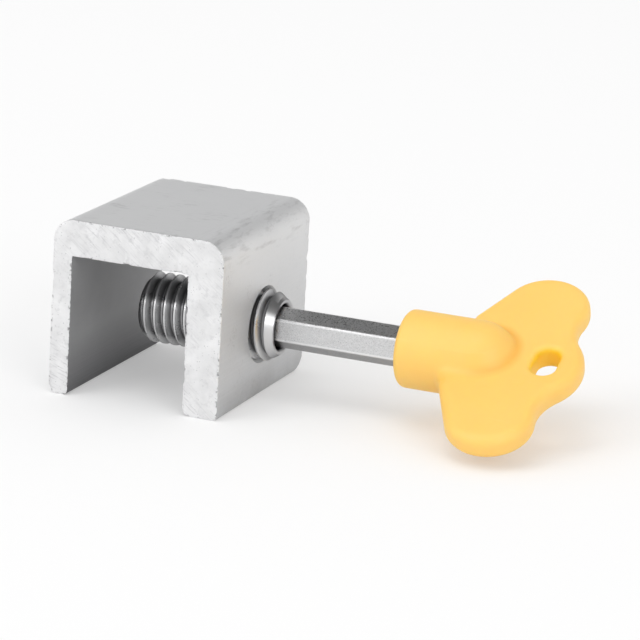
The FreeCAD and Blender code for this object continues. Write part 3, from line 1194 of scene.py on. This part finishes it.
# %% Eye for a key ring
EYE_REACH = 20.0 * MM
EYE_WIDTH = 3.3 * MM
EYE_LENGTH = 5.4 * MM
EYE_ROUND = 0.75 * MM
EYE_STEPS = 48
FLARE_DEGREES = range(90, -1, -15)


def eye_cutter():
    """An oval post through the tail, flared where it leaves the plate, so that the rims come out round."""
    centre = ALONG * (handle_low.x + EYE_REACH)
    upper = [(0, PLATE), (EYE_WIDTH / 2 + EYE_ROUND, PLATE)]
    for degrees in FLARE_DEGREES:
        bend = math.radians(degrees)
        wider = EYE_ROUND * (1 - math.cos(bend))
        upper.append((EYE_WIDTH / 2 + wider, PLATE / 2 - EYE_ROUND * (1 - math.sin(bend))))
    profile = upper + [(radius, -height) for radius, height in reversed(upper)]
    bm = bmesh.new()
    chain(bm, [centre + Vector((radius, 0, height)) for radius, height in profile])
    spun(bm, centre, (0, 0, 1), EYE_STEPS)
    for vert in bm.verts:
        if abs(vert.co.y) > WELD:
            vert.co.y += math.copysign((EYE_LENGTH - EYE_WIDTH) / 2, vert.co.y)
    return bm


eye_post = eye_cutter()
describe("eye post:", eye_post)

# %% [markdown]
# ## One moulding
# Plastic runs into every corner of a mould, so plate and barrel meet without an edge. A bevel along the
# joint of two curved shapes rarely holds. After the joint and the eye are cut, a voxel remesh makes one even
# skin of points, and a little smoothing melts the steps.

# %% Melt plate and barrel into one moulding
VOXEL = 0.15 * MM
MELT_PASSES = 10
RELAX = 0.5


def moulded(plate_mesh, barrel_mesh, eye_mesh):
    """Joins the pieces, remeshes them finely and relaxes the result."""
    joined = as_object("moulding", cut(plate_mesh, [("UNION", barrel_mesh), ("DIFFERENCE", eye_mesh)]))
    remesh = joined.modifiers.new("remesh", "REMESH")
    remesh.mode = "VOXEL"
    remesh.voxel_size = VOXEL
    relax = joined.modifiers.new("relax", "SMOOTH")
    relax.factor = RELAX
    relax.iterations = MELT_PASSES
    return baked(joined)


handle = moulded(plate, barrel, eye_post)
print("moulding:", len(handle.verts), "points")

# %% [markdown]
# ## The crease
# Round the foot of the barrel the moulding has a wide soft fold. Smoothing the whole handle that far would
# also melt its rims and the eye, so only the points close to both barrel and plate are relaxed. They are
# marked with a number, more towards the nose, for the deeper colour that the finish paints there as shade.

# %% Fill the crease round the barrel's foot
CREASE_REACH = 2.1 * MM
CREASE_PASSES = 100
FOLD_REACH = 1.2 * MM
FOLD_FADE = 3 * FOLD_REACH
FOLD_AT_DOME = 0.3


def clamp(value):
    """The value, kept between 0 and 1."""
    return min(1.0, max(0.0, value))


def soft_crease(bm):
    """Relaxes the points that lie close to the barrel and to the plate at once."""
    dome_x = handle_low.x + BARREL_LENGTH
    wing_x = handle_low.x + ROOT_REACH - math.sqrt(ROOT_RADIUS ** 2 - BARREL_RADIUS ** 2)
    eye_x = handle_low.x + EYE_REACH - EYE_WIDTH / 2 - EYE_ROUND
    fold = bm.verts.layers.float.new("fold")
    crease = []
    for vert in bm.verts:
        past_dome = max(0.0, vert.co.x - dome_x)
        off_barrel = Vector((past_dome, vert.co.y, vert.co.z)).length - BARREL_RADIUS
        off_both = max(off_barrel, abs(vert.co.z) - PLATE / 2)
        if wing_x - CREASE_REACH / 2 < vert.co.x < eye_x and off_both < CREASE_REACH:
            crease.append(vert)
            near = clamp(1 - max(off_both, 0.0) / FOLD_REACH)
            # how strongly the finish paints shade in the crease at this point
            vert[fold] = near * clamp((vert.co.x - dome_x) / FOLD_FADE + FOLD_AT_DOME)
    for _ in range(CREASE_PASSES):
        bmesh.ops.smooth_vert(bm, verts=crease, factor=RELAX, use_axis_x=True, use_axis_y=True, use_axis_z=True)
    return len(crease)


print("crease points relaxed:", soft_crease(handle))

# %% [markdown]
# ## The wall of the eye
# Light that has gone through the plastic makes the wall of the eye glow in a deeper yellow. Scattering alone
# shows little of that at this size, so the glow is painted: the points inside the eye get a number, which
# fades out at the rim, and the finish paints them a deeper yellow. The handle is then tilted and moved onto
# the screw's axis.

# %% Mark the wall of the eye and set the handle
HOLLOW_EDGE = 0.5 * MM
HOLLOW_SPAN = 1.5
HOLLOW_FADE = 0.3
HANDLE_CREASE = math.radians(60)


def mark_hollow(bm):
    """Notes on each point how far it lies inside the eye, for the painted glow that the finish gives the eye's
    wall.
    """
    hollow = bm.verts.layers.float.new("hollow")
    eye_x = handle_low.x + EYE_REACH
    for vert in bm.verts:
        across = Vector(((vert.co.x - eye_x) / EYE_WIDTH, vert.co.y / EYE_LENGTH)).length * 2
        depth = (PLATE / 2 - abs(vert.co.z)) / HOLLOW_EDGE
        # how strongly the finish paints the glow at this point
        vert[hollow] = clamp(depth) * clamp((HOLLOW_SPAN - across) / HOLLOW_FADE)
    return sum(vert[hollow] > 0.5 for vert in bm.verts)


print("points on the eye's wall:", mark_hollow(handle))
bmesh.ops.rotate(handle, verts=handle.verts, cent=(0, 0, 0), matrix=Matrix.Rotation(WING_TILT, 3, "X"))
bmesh.ops.translate(handle, verts=handle.verts, vec=AXIS)
set_piece("handle", handle, [PLASTIC], "key", "key_handle", crease=HANDLE_CREASE)
